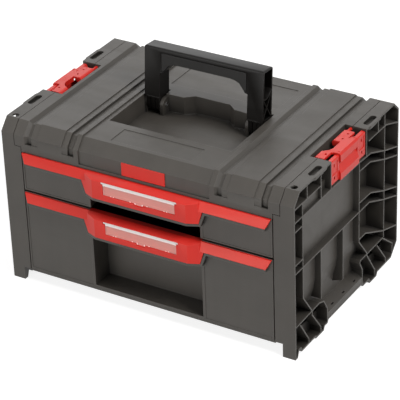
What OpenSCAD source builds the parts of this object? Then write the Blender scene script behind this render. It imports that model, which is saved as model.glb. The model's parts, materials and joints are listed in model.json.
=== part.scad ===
// Portable tool box with two drawers, a folding top handle and red stacking latches.
// Millimetres, +X to the right, +Y to the back, +Z up, standing on Z = 0 and centred in X and Y.

/* [Body] */
// Width over the two ribbed side frames
frame_w = 447; // [380:1:540]
// Depth of the body from the drawer fronts to the back
body_d = 296.5; // [290:0.5:360]
// Width of a front pillar, which is the depth of the side frame's pockets
pillar_w = 30; // [28:0.5:34]
// Height of the feet under the base plate
foot_h = 20; // [18:0.5:24]
// Wall of the moulded body shells
shell_t = 2.6; // [2.2:0.1:3]

/* [Drawers] */
// Height of the lower drawer's front
lower_front_h = 122.5; // [110:0.5:150]
// Height of the upper drawer's front
upper_front_h = 57.2; // [52:0.1:80]
// Gap between a drawer's front and the pillars
drawer_gap = 1.5; // [1:0.1:2]
// Gap between the two drawer fronts
split_gap = 2.8; // [2:0.1:4]
// Wall of the drawer trays
tray_t = 2.4; // [2:0.1:3]
// How far a drawer slides out
drawer_travel = 235; // [180:1:240]
// How far the pull stands out in front of the body
pull_out = 13.5; // [12:0.1:15]
// Width of the flat face of a pull's bulge
bulge_w = 144; // [130:1:160]
// Width of the clear label cover
label_w = 110; // [90:1:116]

/* [Top cover] */
// Height of the top cover from the fascia's lower edge to its crest
deck_h = 40.8; // [40:0.1:50]
// Depth of the channels moulded in the top cover
channel_deep = 4.7; // [3:0.1:5.5]
// Depth of the handle's well under the centre panel
well_deep = 27; // [26.5:0.1:28]

/* [Handle] */
// Width of the handle over its legs
handle_w = 184.4; // [153.6:0.1:190]
// Reach of the handle from its pin to its top
handle_reach = 85.5; // [75:0.5:88]
// Depth of the handle's bow from front to back
handle_deep = 24.6; // [22:0.1:25]
// Width of one leg of the handle
leg_w = 24; // [22:0.5:26]
// How far the raised handle leans back, in degrees
handle_lean = 5; // [2:0.5:6]
// Diameter of a handle pin
handle_pin_d = 6; // [5:0.5:7]

/* [Latches] */
// Length of a latch along the side of the body
latch_l = 96; // [80:1:104]
// Length of the grip between the latch's two columns
latch_grip_l = 52; // [44:1:58]
// Diameter of the moulded latch pivots
latch_pivot_d = 4.4; // [3.6:0.1:5]

/* [Mounting] */
// Distance between the two slots in a side flange
slot_pitch = 154; // [140:1:165]
// Length of a flange slot from end to end
slot_l = 28; // [20:0.5:32]
// Width of a flange slot
slot_w = 9; // [6:0.5:10]
// Diameter of the round hole in front of the slots
round_hole_d = 9.4; // [7:0.2:10]

/* [Clearances] */
// Radial clearance of a pivot in its bore
pivot_fit = 0.06; // [0.02:0.01:0.1]
// Radial clearance of a fixed pin in its ears
pin_fit = 0.02; // [0.01:0.01:0.05]
// Gap between a piece that moves and the piece that carries it
run_gap = 0.3; // [0.2:0.05:0.5]

/* [Hidden] */
$fn = 48;
eps = 0.05;

shell_colour = "#4b4946";
dark_colour = "#2b2a2a";
red_colour = "#d8262b";
clear_colour = [0.95, 0.85, 0.82, 0.5];
steel_colour = "#b9bcc0";

// Body planes
half_w = frame_w / 2;
bay_half = half_w - pillar_w;
flange_w = 20.5;
deck_half = half_w - flange_w;
back_y = (body_d + pull_out) / 2;
front_y = back_y - body_d;
mid_y = back_y - body_d / 2;
base_t = 2.5;
base_top = foot_h + 1;
lower_z0 = base_top + 1;
lower_z1 = lower_z0 + lower_front_h;
lower_pull_z = lower_z1 - 0.5;
upper_z0 = lower_z1 + split_gap;
upper_z1 = upper_z0 + upper_front_h;
fascia_z = upper_z1 + 0.7;
deck_z = fascia_z + deck_h;

// Chamfers round the top cover, as seen from the side
front_chamfer_y = 15.1;
front_chamfer_z = 16.5;
rear_chamfer_y = 14;
rear_chamfer_z = 13.4;
crest_y0 = front_y + front_chamfer_y;
crest_y1 = back_y - rear_chamfer_y;
brow_z = deck_z - front_chamfer_z;
nape_z = deck_z - rear_chamfer_z;

// Top cover: steps of its side wall
step_z = fascia_z + 6.8;
centre_margin = 8.1;
centre_drop = 2;
panel_z = deck_z - centre_drop;
border_drop = 1.5;
badge_w = 66;
badge_h = 18.6;
badge_t = 1.4;
badge_z = fascia_z + 4;

// Side frame
web_t = 3;
rib_t = 1.8;
rim_t = 2.4;
foot_w = 18.9;
foot_in = half_w - foot_w;
panel_recess = 9;
panel_t = 2;
bay_recess = 4.3;
flange_t = 3;
frame_gap = 0.9;
joint_deep = 2;
slot_floor = 5.5;
slot_wall = 1.8;
slot_x = half_w - 7.5;
slot_mid_y = mid_y - 0.55;
boss_out = 1.5;
round_hole_x = half_w - 10.8;
round_hole_y = front_y + 21.5;

// Handle, in its own frame with the pin at the origin and the bow straight up
handle_half = handle_w / 2;
centre_half = handle_half + centre_margin;
pin_y = mid_y + 17.75;
pin_z = panel_z - well_deep + 1.5 + handle_deep / 2;
pin_r = handle_pin_d / 2;
ear_r = 10;
ear_t = 5;
ear_gap = 20.9;
ear_out = handle_half - 2;
ear_in = ear_out - ear_gap;
knuckle_r = 11;
knuckle_gap = 1.2;
leg_start = 11.4;
bar_h = 21;
gusset_w = 16;
grip_inset = 2.4;
grip_t = 2.2;
grip_gap = 0.8;
foot_rim = 0.8;

// Handle well
well_half = handle_half + 2.3;
well_floor_half = handle_half + 0.9;
well_floor = panel_z - well_deep;
well_front_y = pin_y - handle_reach - 11.4;
well_back_y = pin_y + 4;
leg_bay_y = pin_y + 17.5;
leg_bay_x = handle_half - leg_w - 0.8;
niche_y = pin_y + 16.1;
niche_half = 27;
niche_slope = 13;
well_t = 2.4;

// Bare fields in the centre panel: x and y from their left front to their right rear corner
front_field = [-62.5, 61.5, crest_y0 + 7.5, crest_y0 + 42.3];
rear_field = [-77, 90, leg_bay_y + 16, leg_bay_y + 77];
field_deep = 0.7;
fillet_size = 1.1;

// Latches, on the right-hand side
latch_y0 = mid_y + 2.25 - latch_l / 2;
latch_y1 = latch_y0 + latch_l;
pocket_gap = 1.4;
pocket_y0 = latch_y0 - pocket_gap;
pocket_y1 = latch_y1 + pocket_gap;
pocket_x = deck_half - 11;
column_w = (latch_l - latch_grip_l) / 2;
grip_y0 = latch_y0 + column_w;
grip_y1 = latch_y1 - column_w;
latch_top = deck_z - 0.4;
link_t = 3.4;
link_pin_x = deck_half - 2.6;
link_pin_z = latch_top - 4.6;
link_knuckle_r = 4.6;
clip_pin_x = half_w - 4.6;
clip_pin_z = latch_top - 4.8;
clip_knuckle_r = 4.4;
column_x = half_w - 1.2;
clip_top = latch_top - 2.4;
clip_bottom = fascia_z + 3.4;
grip_bottom = fascia_z + 2.2;
pivot_r = latch_pivot_d / 2;

// Drawers
front_half = bay_half - drawer_gap;
tray_half = bay_half - 5;
tray_back = back_y - 20;
front_t = 3;
bar_h_red = 13;
bar_out_top = 2.5;
bar_out_low = 7;
bulge_half = bulge_w / 2;
bulge_side = 15;
bulge_drop = 32;
bulge_top = 4.5;
bulge_end = bulge_half + bulge_side;
wing_end = bulge_end + 6;
grip_wall = 6.5;
hand_half = bulge_end - 2;
lip_h = 3.4;
lip_gap = 0.5;
lip_back = 0.4;
bar_end_slope = 6.4;
ledge_half = bulge_end;
ledge_deep = 5;
ledge_t = 2.5;
panel_x0 = hand_half + 4;
panel_edge = 2.2;
panel_sunk = 0.6;
flange_drop = 8;
flange_h = 2.4;
rail_h = 4;
rail_in = bay_half - 4.2;
rail_start = 8;
lug_l = 10;
lug_h = 2;

// Label window
label_half = label_w / 2;
label_top = 6.6;
label_h = 16.8;
window_deep = 3.2;
barrel_r = 1.8;
cover_t = 1.2;
cover_rim = 1.8;
barrel_end = 3;
tab_half = 6;
label_axis_y = front_y - pull_out + barrel_r + 0.7;

// ---------------------------------------------------------------- helpers

function unit(v) = v / norm(v);

function normal_of(a, b) = let (d = unit(b - a)) [-d[1], d[0]];

// Shift of a point between two edges that moves both edges sideways by h
function mitre(a, b, c, h) =
    let (n1 = normal_of(a, b), n2 = normal_of(b, c), m = unit(n1 + n2))
    m * h / (m * n1);

function shifted(pts, i, h) =
    i == 0 ? pts[0] + normal_of(pts[0], pts[1]) * h
    : i == len(pts) - 1 ? pts[i] + normal_of(pts[i - 1], pts[i]) * h
    : pts[i] + mitre(pts[i - 1], pts[i], pts[i + 1], h);

// Outline of a strip of thickness t that follows the open path pts
function strip(pts, t) = concat(
    [for (i = [0 : len(pts) - 1]) shifted(pts, i, t / 2)],
    [for (i = [len(pts) - 1 : -1 : 0]) shifted(pts, i, -t / 2)]);

// A closed outline, drawn anticlockwise, with each edge moved inwards by h
function inset(pts, h) = let (n = len(pts))
    [for (i = [0 : n - 1]) pts[i] + mitre(pts[(i + n - 1) % n], pts[i], pts[(i + 1) % n], h)];

function mirrored(half) = concat(half, [for (i = [len(half) - 1 : -1 : 0]) [-half[i][0], half[i][1]]]);

// Extrudes an outline of (y, z) points along X
module along_x(x0, x1) {
    translate([x0, 0, 0])
        rotate([90, 0, 90])
            linear_extrude(x1 - x0)
                children();
}

// Extrudes an outline of (x, z) points along Y
module along_y(y0, y1) {
    translate([0, y1, 0])
        rotate([90, 0, 0])
            linear_extrude(y1 - y0)
                children();
}

module block(x0, x1, y0, y1, z0, z1) {
    translate([x0, y0, z0])
        cube([x1 - x0, y1 - y0, z1 - z0]);
}

module rod_x(x0, x1, y, z, r) {
    translate([x0, y, z])
        rotate([0, 90, 0])
            cylinder(h = x1 - x0, r = r);
}

module rod_y(y0, y1, x, z, r) {
    translate([x, y0, z])
        rotate([-90, 0, 0])
            cylinder(h = y1 - y0, r = r);
}

module both_sides() {
    children();
    mirror([1, 0, 0])
        children();
}

// A slot that runs along Y, seen from above
module slot_2d(length, width) {
    for (s = [-1, 1])
        translate([0, s * (length - width) / 2])
            circle(d = width);
    square([width, length - width], center = true);
}

// ---------------------------------------------------------------- side frame

tab_y0 = front_y + 55;
tab_y1 = tab_y0 + 24;
rear_tab_y0 = back_y - 83.4;
rear_tab_y1 = rear_tab_y0 + 20.4;
mid_z = 11;

side_outline = [
    [front_y, 0], [front_y + 6.5, 0], [front_y + 9.9, 9.7], [front_y + 14, 9.7],
    [front_y + 17, 4], [tab_y0, 4], [tab_y0 + 1.5, 1], [tab_y1, 1],
    [tab_y1 + 2, 6.4], [tab_y1 + 10.4, 6.4], [tab_y1 + 13, mid_z], [back_y - 106, mid_z],
    [back_y - 104, 6.4], [rear_tab_y0 - 3, 6.4], [rear_tab_y0, 0], [rear_tab_y1, 0],
    [rear_tab_y1 + 3, 5.5], [back_y - 18, 5.5], [back_y, 24], [back_y, nape_z],
    [crest_y1, deck_z], [crest_y0, deck_z], [front_y, brow_z]];

v1_y = front_y + 22.6;
v2_y = mid_y + 31.75;
stud_y = mid_y - 14.45;
v3_y = back_y - 42;
h1_z = deck_z - 21;
h2_z = fascia_z + 0.3;
hb_z = h2_z - 13.5;
h3_z = lower_z1 - 1.8;
h4_z = h3_z - 12.7;
hex_z = 51;
shelf_z = fascia_z + 12.8;

rib_paths = [
    [[front_y, h1_z], [pocket_y0 - 28.3, h1_z]],
    [[front_y, h2_z], [v2_y, h2_z], [v2_y + 33.9, h2_z - 2], [v3_y + 2, h2_z - 18.7], [back_y, h2_z - 31.5]],
    [[front_y, hb_z], [v1_y, hb_z]],
    [[v2_y, hb_z], [v2_y + 32.3, hb_z - 1], [v3_y + 1.4, hb_z - 18.4], [back_y, hb_z - 31.4]],
    [[front_y, h3_z], [v1_y, h3_z]],
    [[v2_y, h3_z + 1.1], [v2_y + 34.1, h3_z], [v3_y - 1, h3_z - 16.8], [back_y, h3_z - 31.7]],
    [[front_y, h4_z], [v2_y + 30.4, h4_z], [v3_y - 1.5, h4_z - 17.7], [back_y, h4_z - 33]],
    [[v2_y, 87.4], [v2_y + 19.2, 87.2], [v3_y - 3.7, 63.7], [back_y, 49.6]],
    [[v1_y, h1_z], [v1_y, 83.7], [v1_y + 24.4, 49.4], [v1_y + 23.5, 44.3], [v1_y + 47.8, 12],
        [v1_y + 47.8, 2]],
    [[v2_y, h2_z], [v2_y, 83.5], [v2_y + 23.3, 54.3], [v2_y + 23.3, 50.5], [v2_y + 48.5, 13.3],
        [v2_y + 49.9, 1]],
    [[v3_y, deck_z - 1], [v3_y, hex_z + 1]],
    [[front_y + 71.8, 55], [front_y + 71.8, h4_z]],
    [[front_y + 35.5, h1_z], [front_y + 35.5, deck_z - 1]],
    [[front_y + 72.8, h2_z], [front_y + 72.8, deck_z - 1]],
    [[back_y - 61.3, h1_z], [back_y - 61.3, deck_z - 1]],
    [[pocket_y1 + 7, h1_z], [v3_y + 1, h1_z], [v3_y + 5, h1_z - 0.5], [back_y, h1_z - 13.5]],
    [[v3_y - 3.5, hex_z + 1], [v2_y + 4.1, hex_z + 0.4], [v2_y + 3.3, hex_z - 4],
        [v2_y + 10.7, 34.3], [v2_y + 10.9, mid_z]],
    [[v3_y - 3.5, hex_z + 1], [back_y - 14.7, 27.5], [back_y - 14.7, 12]],
    [[v3_y - 20, 49], [v3_y + 6.1, 15.4], [v3_y + 7.2, 6]],
    [[front_y, 49], [front_y + 66.5, 51], [front_y + 78.6, 47], [front_y + 88.5, 31],
        [front_y + 89.4, mid_z]],
    [[front_y + 13.9, 47], [front_y + 36.6, 12.8], [front_y + 37.3, 5]]];

// Panels behind the ribs' edges: the outline of each and how far it lies behind them
bay_panels = [
    [[[v1_y, h4_z], [v2_y, h4_z], [v2_y, h2_z], [v1_y, h2_z]], panel_recess],
    [[[v1_y, h2_z], [front_y + 72.8, h2_z], [front_y + 72.8, h1_z], [v1_y, h1_z]], bay_recess],
    [[[front_y + 72.8, h2_z], [pocket_y0, h2_z], [pocket_y0, shelf_z], [front_y + 72.8, shelf_z]],
        panel_recess]];

// Field of the panel that leans inwards above the trough, and its section
leaning_field = [
    [v1_y, h4_z], [v1_y, 83.7], [v1_y + 22.8, hex_z], [front_y + 66.5, hex_z], [front_y + 78.6, 47.5],
    [front_y + 88.5, 31.3], [front_y + 89.4, mid_z + 1], [v2_y + 10.9, mid_z + 1], [v2_y + 10.7, 34.3],
    [v2_y + 3.3, 47], [v2_y + 4.1, hex_z], [v2_y + 23.3, hex_z], [v2_y + 23.3, 54.3], [v2_y, 83.5],
    [v2_y, h4_z]];
trough_x = foot_in + 1.4;
trough_z = 28;
leaning_section = [
    [half_w - panel_recess - 1, h4_z], [half_w - panel_recess - 1, 84], [half_w - panel_recess - 3.5, 68],
    [half_w - panel_recess - 6.6, 56], [trough_x + 0.6, 45], [trough_x, trough_z], [half_w - 1.2, 21.5],
    [half_w - 1.2, mid_z + 1]];

module latch_pocket_cut() {
    block(foot_in - 40, half_w + 5, pocket_y0, pocket_y1, h2_z + rib_t / 2, deck_z + 5);
}

// Corner posts and end walls of the latch pocket, in the side frame
module pocket_ends() {
    for (y = [pocket_y0 - rib_t, pocket_y1])
        block(deck_half + frame_gap, half_w, y, y + rib_t, h2_z, deck_z);
}

module side_frame_solid() {
    difference() {
        union() {
            // Inner web that the drawers run along
            intersection() {
                along_x(bay_half, bay_half + web_t)
                    polygon(side_outline);
                block(bay_half, bay_half + web_t, front_y, back_y, foot_h, step_z);
            }
            // Inner web of the part below the base plate, and the shelf between the two
            intersection() {
                along_x(foot_in, foot_in + rim_t)
                    polygon(side_outline);
                block(foot_in, half_w, front_y, back_y, 0, foot_h + rim_t);
            }
            block(bay_half, foot_in + rim_t, front_y, back_y, foot_h, foot_h + rim_t);
            // Rim all round
            along_x(bay_half + eps, half_w)
                difference() {
                    polygon(side_outline);
                    polygon(inset(side_outline, rim_t));
                }
            // Ribs
            intersection() {
                along_x(bay_half + eps, half_w)
                    polygon(side_outline);
                union()
                    for (r = rib_paths)
                        along_x(bay_half + eps, half_w)
                            polygon(strip(r, rib_t));
            }
            for (p = bay_panels)
                along_x(half_w - p[1] - panel_t, half_w - p[1])
                    polygon(p[0]);
            // Shelf over the panel in front of the latch
            block(bay_half + 1, half_w - panel_recess - 0.5, front_y + 72.8, pocket_y0 - 1,
                  shelf_z - rib_t, shelf_z);
            leaning_panel();
            // Front pillar face
            block(bay_half, half_w, front_y, front_y + rim_t, foot_h, brow_z);
            // Bosses that widen the flange round the slots
            for (s = [-1, 1])
                translate([half_w, slot_mid_y + s * slot_pitch / 2, deck_z - flange_t])
                    linear_extrude(flange_t)
                        polygon([[-flange_t, -slot_l / 2 - 6], [0, -slot_l / 2 - 4], [boss_out, -slot_l / 2],
                                 [boss_out, slot_l / 2], [0, slot_l / 2 + 4], [-flange_t, slot_l / 2 + 6]]);
            // Bosses that the back panel is screwed to
            for (z = screw_z)
                difference() {
                    block(screw_x - 5, bay_half + eps, back_in - screw_l - 1, back_in, z - 5, z + 5);
                    rod_y(back_in - screw_l - 5, back_in + 1, screw_x, z, screw_r + pin_fit);
                }
            // Runners for the two drawers
            for (z = [upper_z1, lower_z1])
                drawer_runner(z);
        }
        // Room for the top cover's side and for the base plate's feet side
        block(bay_half - 10, deck_half + frame_gap, front_y - 5, back_y + 5, step_z, deck_z + 5);
        block(bay_half - 10, foot_in, front_y - 5, back_y + 5, -5, foot_h);
        latch_pocket_cut();
        flange_holes();
    }
    pocket_ends();
    slot_pockets();
}

// Panel that leans inwards to the trough, with the trough's floor, lip and drain slots,
// and the tapered stud in front of it
module leaning_panel() {
    difference() {
        intersection() {
            along_x(bay_half, half_w)
                polygon(leaning_field);
            along_y(v1_y, v2_y + 24)
                polygon(strip(leaning_section, panel_t));
        }
        for (y = [stud_y - 26, stud_y + 6, stud_y + 38])
            block(half_w - 5.5, half_w - 3.6, y, y + 6, mid_z, trough_z);
    }
    along_y(stud_y - rib_t / 2, stud_y + rib_t / 2)
        polygon([[half_w - panel_recess - 1.5, h4_z], [half_w - 0.2, h4_z], [half_w - 0.2, hex_z + 1],
                 [half_w - 1.4, hex_z - 2], [trough_x, 44], [half_w - panel_recess - 7, 56],
                 [half_w - panel_recess - 4, 68]]);
}

// Blind pockets under the flange's slots
module slot_pockets() {
    for (s = [-1, 1])
        translate([slot_x, slot_mid_y + s * slot_pitch / 2, deck_z])
            difference() {
                translate([0, 0, -slot_floor - slot_wall])
                    linear_extrude(slot_floor + slot_wall - flange_t / 2)
                        slot_2d(slot_l + 2 * slot_wall, slot_w + 2 * slot_wall);
                translate([0, 0, -slot_floor])
                    linear_extrude(slot_floor)
                        slot_2d(slot_l, slot_w);
            }
}

// A channel on the web that a tray's flange slides in
module drawer_runner(z_top) {
    z_flange = z_top - flange_drop;
    block(rail_in, bay_half + eps, front_y + rail_start, back_in - screw_l,
          z_flange - run_gap - rail_h, z_flange - run_gap);
    // Hold-down at the front, whose rear end stops the tray's lug when the drawer is out
    block(rail_in, bay_half + eps, front_y + rail_start, tray_back - lug_l - drawer_travel - run_gap,
          z_flange + flange_h + run_gap, z_flange + flange_h + run_gap + lug_h);
}

module flange_holes() {
    for (s = [-1, 1])
        translate([slot_x, slot_mid_y + s * slot_pitch / 2, deck_z - flange_t - 5])
            linear_extrude(flange_t + 10)
                slot_2d(slot_l, slot_w);
    translate([round_hole_x, round_hole_y, deck_z - flange_t - 5])
        cylinder(h = flange_t + 10, d = round_hole_d);
}

module side_frame_right() {
    color(shell_colour)
        side_frame_solid();
}

module side_frame_left() {
    color(shell_colour)
        mirror([1, 0, 0])
            side_frame_solid();
}

// ---------------------------------------------------------------- top cover

// Surface of the top cover across its width: x and the drop under the crest
channel_floor = 6;
outer_channel_x = deck_half - 20.2;
border_w = 10.2;
inner_channel_x = centre_half + 11.4;
inner_border_x = inner_channel_x + 6.5;
plateau_x0 = inner_border_x + 8.9;
plateau_x1 = outer_channel_x - channel_floor - 0.7 - border_w;
channel_slope = 4.2;
draft = 0.4;

deck_surface = [
    [centre_half, -centre_drop], [centre_half + draft, 0], [inner_channel_x - channel_slope, 0],
    [inner_channel_x, -channel_deep], [inner_border_x - 0.7, -channel_deep],
    [inner_border_x, -border_drop], [plateau_x0 - draft, -border_drop], [plateau_x0, 0],
    [plateau_x1, 0], [plateau_x1 + draft, -border_drop],
    [outer_channel_x - channel_floor - 0.7, -border_drop],
    [outer_channel_x - channel_floor, -channel_deep], [outer_channel_x, -channel_deep],
    [outer_channel_x + channel_slope, 0], [deck_half, 0]];

deck_underside = [
    [inner_channel_x - channel_slope - 1, -centre_drop - shell_t],
    [inner_channel_x - 1.6, -channel_deep - shell_t],
    [inner_border_x + 1.7, -channel_deep - shell_t],
    [inner_border_x + 2.3, -border_drop - shell_t],
    [outer_channel_x - channel_floor - 3, -border_drop - shell_t],
    [outer_channel_x - channel_floor - 2.4, -channel_deep - shell_t],
    [outer_channel_x + 1.6, -channel_deep - shell_t],
    [outer_channel_x + channel_slope + 0.8, -shell_t],
    [deck_half - shell_t, -shell_t]];

// The whole section under the surface, closed a long way below it
far = 500;

function section(half, width) = concat(
    [[-width, -far]],
    [for (i = [len(half) - 1 : -1 : 0]) [-half[i][0], half[i][1]]],
    half, [[width, -far]]);

front_slope = atan2(front_chamfer_z, front_chamfer_y);
rear_slope = atan2(rear_chamfer_z, rear_chamfer_y);

// Everything under the section when it runs through a point down a slope to the front
module under_stretch(start, slope) {
    translate([0, start[0], start[1]])
        rotate([slope, 0, 0])
            along_y(-far, far)
                children();
}

// Solid under the cover's surface: the section bends over each chamfer, so the
// channels run on down the brow and the fascia
module under_cover() {
    intersection() {
        under_stretch([0, deck_z], 0)
            children();
        under_stretch([crest_y0, deck_z], front_slope)
            children();
        under_stretch([front_y, brow_z], 90)
            children();
        under_stretch([crest_y1, deck_z], -rear_slope)
            children();
    }
}

module deck_skin() {
    difference() {
        intersection() {
            under_cover()
                polygon(section(deck_surface, deck_half));
            block(-deck_half, deck_half, front_y, back_y, fascia_z, deck_z);
        }
        intersection() {
            under_cover()
                polygon(section(deck_underside, deck_half - shell_t));
            along_y(front_y, back_y - shell_t)
                polygon([[-bay_half + shell_t, fascia_z - 5], [bay_half - shell_t, fascia_z - 5],
                         [bay_half - shell_t, step_z + shell_t], [deck_half - shell_t, step_z + shell_t],
                         [deck_half - shell_t, deck_z], [-deck_half + shell_t, deck_z],
                         [-deck_half + shell_t, step_z + shell_t], [-bay_half + shell_t, step_z + shell_t]]);
        }
    }
}

// Outline of the well seen from above, anticlockwise
function well_plan() = let (half = [
        [well_half, well_front_y], [well_half, leg_bay_y], [leg_bay_x, leg_bay_y],
        [leg_bay_x, well_back_y], [niche_half + niche_slope, well_back_y + 1.5], [niche_half, niche_y]])
    concat(half, [for (i = [len(half) - 1 : -1 : 0]) [-half[i][0], half[i][1]]]);

module well_taper(grow, z0, z1) {
    along_y(well_front_y - 20, leg_bay_y + 20)
        polygon([[-well_floor_half - grow, z0], [well_floor_half + grow, z0],
                 [well_half + grow, z1], [-well_half - grow, z1]]);
}

module well_void() {
    intersection() {
        translate([0, 0, well_floor])
            linear_extrude(deck_z)
                polygon(well_plan());
        well_taper(0, well_floor, deck_z + 10);
    }
}

module well_shell() {
    intersection() {
        translate([0, 0, well_floor - well_t])
            linear_extrude(panel_z - 1 - well_floor + well_t)
                polygon(inset(well_plan(), -well_t));
        well_taper(well_t, well_floor - well_t - 1, panel_z);
    }
}

// Ears on both sides of a leg
module handle_ears() {
    both_sides()
        for (x = [ear_in - ear_t, ear_out]) {
            rod_x(x, x + ear_t, pin_y, pin_z, ear_r);
            block(x, x + ear_t, pin_y - ear_r, leg_bay_y + eps, well_floor - 1, pin_z);
            block(x, x + ear_t, pin_y, leg_bay_y + eps, well_floor - 1, pin_z + ear_r);
        }
}

module deck_cover() {
    color(shell_colour)
        difference() {
            union() {
                deck_skin();
                // Plain lower part of the fascia, which is lower in the middle
                block(-bay_half, bay_half, front_y, front_y + shell_t, fascia_z, badge_z);
                both_sides()
                    block(centre_half, bay_half, front_y, front_y + shell_t, fascia_z, fascia_z + 12.3);
                well_shell();
                both_sides()
                    latch_pocket_walls();
            }
            both_sides() {
                // Ends of the fascia beside the pillars
                block(bay_half, deck_half + 5, front_y - 5, back_y + 5, fascia_z - 5, step_z);
                // Recess under the plateau's brow
                along_x(inner_border_x - 0.4, outer_channel_x - channel_floor - 0.3)
                    polygon([[front_y - 5, brow_z - 1], [front_y + 2.2, brow_z - 1],
                             [front_y - 0.2, fascia_z + 6.3], [front_y - 5, fascia_z + 6.3]]);
                block(pocket_x, deck_half + 5, pocket_y0, pocket_y1, step_z + shell_t, deck_z + 5);
                rod_x(ear_in - ear_t - 5, ear_out + 3, pin_y, pin_z, pin_r + pin_fit);
                rod_y(pocket_y0 - 8, pocket_y1 + 8, link_pin_x, link_pin_z, pivot_r + pivot_fit);
                // Open joint lines against the pillar
                block(bay_half - frame_gap, bay_half + 1, front_y - 1, front_y + joint_deep,
                      fascia_z - 1, step_z + frame_gap);
                block(bay_half - frame_gap, deck_half + 1, front_y - 1, front_y + joint_deep,
                      step_z - 1, step_z + frame_gap);
            }
            difference() {
                well_void();
                handle_ears();
            }
            panel_fields();
        }
    color(shell_colour)
        well_fillet();
}

// Shallow bare fields in the centre panel, in front of the well and behind it
module panel_fields() {
    for (f = [front_field, rear_field])
        block(f[0], f[1], f[2], f[3], panel_z - field_deep, panel_z + 1);
}

// Small fillet at the foot of the well's rear wall
module well_fillet() {
    half = [[leg_bay_x, well_back_y], [niche_half + niche_slope, well_back_y + 1.5], [niche_half, niche_y]];
    translate([0, 0, well_floor - 1])
        linear_extrude(1 + fillet_size)
            polygon(strip(mirrored(half), 2 * fillet_size));
}

// Walls of the latch pocket in the top cover
module latch_pocket_walls() {
    block(pocket_x - shell_t, pocket_x, pocket_y0 - shell_t, pocket_y1 + shell_t, step_z + 1, deck_z - 1);
    for (y = [pocket_y0 - shell_t, pocket_y1])
        block(pocket_x - shell_t, deck_half - 1, y, y + shell_t, step_z + 1, deck_z - 1);
}

// ---------------------------------------------------------------- other body pieces

back_t = 2.5;
back_in = back_y - shell_t - back_t;
screw_z = [foot_h + 14, (lower_z1 + foot_h) / 2, upper_z1 - 14];
screw_x = bay_half - 8;
screw_l = 12;
screw_r = 2;

module back_panel() {
    color(shell_colour)
        difference() {
            union() {
                block(-bay_half, bay_half, back_in, back_in + back_t, base_top, fascia_z);
                // Tongue behind the top cover's apron
                block(-bay_half + shell_t + 0.5, bay_half - shell_t - 0.5, back_in, back_in + back_t,
                      fascia_z - eps, fascia_z + 4);
                // Stiffening ribs on the outside
                for (x = [-120 : 60 : 120])
                    block(x - 1, x + 1, back_in + back_t - eps, back_y - 1, base_top + 12, fascia_z - 8);
            }
            for (s = [-1, 1], z = screw_z)
                rod_y(back_in - 5, back_y + 5, s * screw_x, z, screw_r + pin_fit);
        }
}

module base_plate() {
    color(shell_colour)
        union() {
            block(-bay_half, bay_half, front_y + 1, back_in + back_t, base_top - base_t, base_top);
            // Front lip and the ribs under the plate
            block(-bay_half, bay_half, front_y + 1, front_y + 3.4, base_top - base_t - 1, base_top - eps);
            for (y = [front_y + 60 : 60 : back_in - 30])
                block(-bay_half + 20, bay_half - 20, y - 1, y + 1, base_top - 9, base_top - base_t + eps);
            for (x = [-150 : 75 : 150])
                block(x - 1, x + 1, front_y + 16, back_in - 10, base_top - 9, base_top - base_t + eps);
        }
}

module badge_plate() {
    color(red_colour)
        block(-badge_w / 2, badge_w / 2, front_y + centre_drop - badge_t, front_y + centre_drop,
              badge_z + 0.4, badge_z + 0.4 + badge_h);
}

module body_screws() {
    color(steel_colour)
        for (s = [-1, 1], z = screw_z) {
            rod_y(back_in - screw_l, back_in + back_t + 0.5, s * screw_x, z, screw_r);
            rod_y(back_in + back_t, back_in + back_t + 2, s * screw_x, z, 2 * screw_r);
        }
}

// ---------------------------------------------------------------- handle

// Places a piece drawn about the pin, with the bow straight up
module on_handle() {
    translate([0, pin_y, pin_z])
        rotate([-handle_lean, 0, 0])
            children();
}

half_deep = handle_deep / 2;
knuckle_t = (ear_gap - 2 * run_gap - 2 * knuckle_gap) / 3;
leg_in = handle_half - leg_w;
under = handle_reach - bar_h;
edge_r = 2.6;

// Right half of the front view of the bow, from the middle of its underside: the gusset
// rounds off into a short step beside the leg
bow_half = [
    [leg_in - gusset_w - 12, under], [leg_in - gusset_w - 4, under - 1], [leg_in - gusset_w + 3, under - 4],
    [leg_in - 6, under - gusset_w + 3.2], [leg_in - 3.6, under - gusset_w + 1],
    [leg_in, under - gusset_w], [leg_in, leg_start], [handle_half, leg_start],
    [handle_half, handle_reach - 2.4], [handle_half - 0.7, handle_reach - 0.7],
    [handle_half - 2.4, handle_reach]];

// Side view of the bow, with its long edges rounded at the top
bow_side = mirrored([
    [half_deep + 1, leg_start - 1], [half_deep + 1, under - gusset_w], [half_deep, under - gusset_w + 1],
    [half_deep, handle_reach - edge_r], [half_deep - 0.1 * edge_r, handle_reach - 0.6 * edge_r],
    [half_deep - 0.3 * edge_r, handle_reach - 0.3 * edge_r],
    [half_deep - 0.6 * edge_r, handle_reach - 0.1 * edge_r], [half_deep - edge_r, handle_reach]]);

module handle_bow() {
    color(dark_colour)
        on_handle()
            difference() {
                union() {
                    intersection() {
                        along_y(-half_deep, half_deep)
                            polygon(mirrored(bow_half));
                        along_x(-handle_half - 1, handle_half + 1)
                            polygon(bow_side);
                    }
                    // Rim along the front of each leg's foot
                    both_sides()
                        block(leg_in, handle_half - 4, -half_deep - foot_rim, -half_deep + 1,
                              leg_start, leg_start + 1.4);
                    // Three knuckles between the ears of each leg
                    both_sides()
                        for (i = [0 : 2]) {
                            x = ear_in + run_gap + i * (knuckle_t + knuckle_gap);
                            rod_x(x, x + knuckle_t, 0, 0, knuckle_r);
                            block(x, x + knuckle_t, -knuckle_r, knuckle_r, 0, leg_start + eps);
                        }
                }
                // Open pockets on the outer side of the legs, with crossed ribs in the lower one
                both_sides() {
                    along_x(handle_half - 14, handle_half + 1)
                        leg_pockets();
                    rod_x(ear_in - 5, ear_out + 5, 0, 0, pin_r + pivot_fit);
                }
                // Seat of the grip insert, at the front and the back
                for (s = [-1, 1])
                    grip_seat(s);
            }
}

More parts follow.
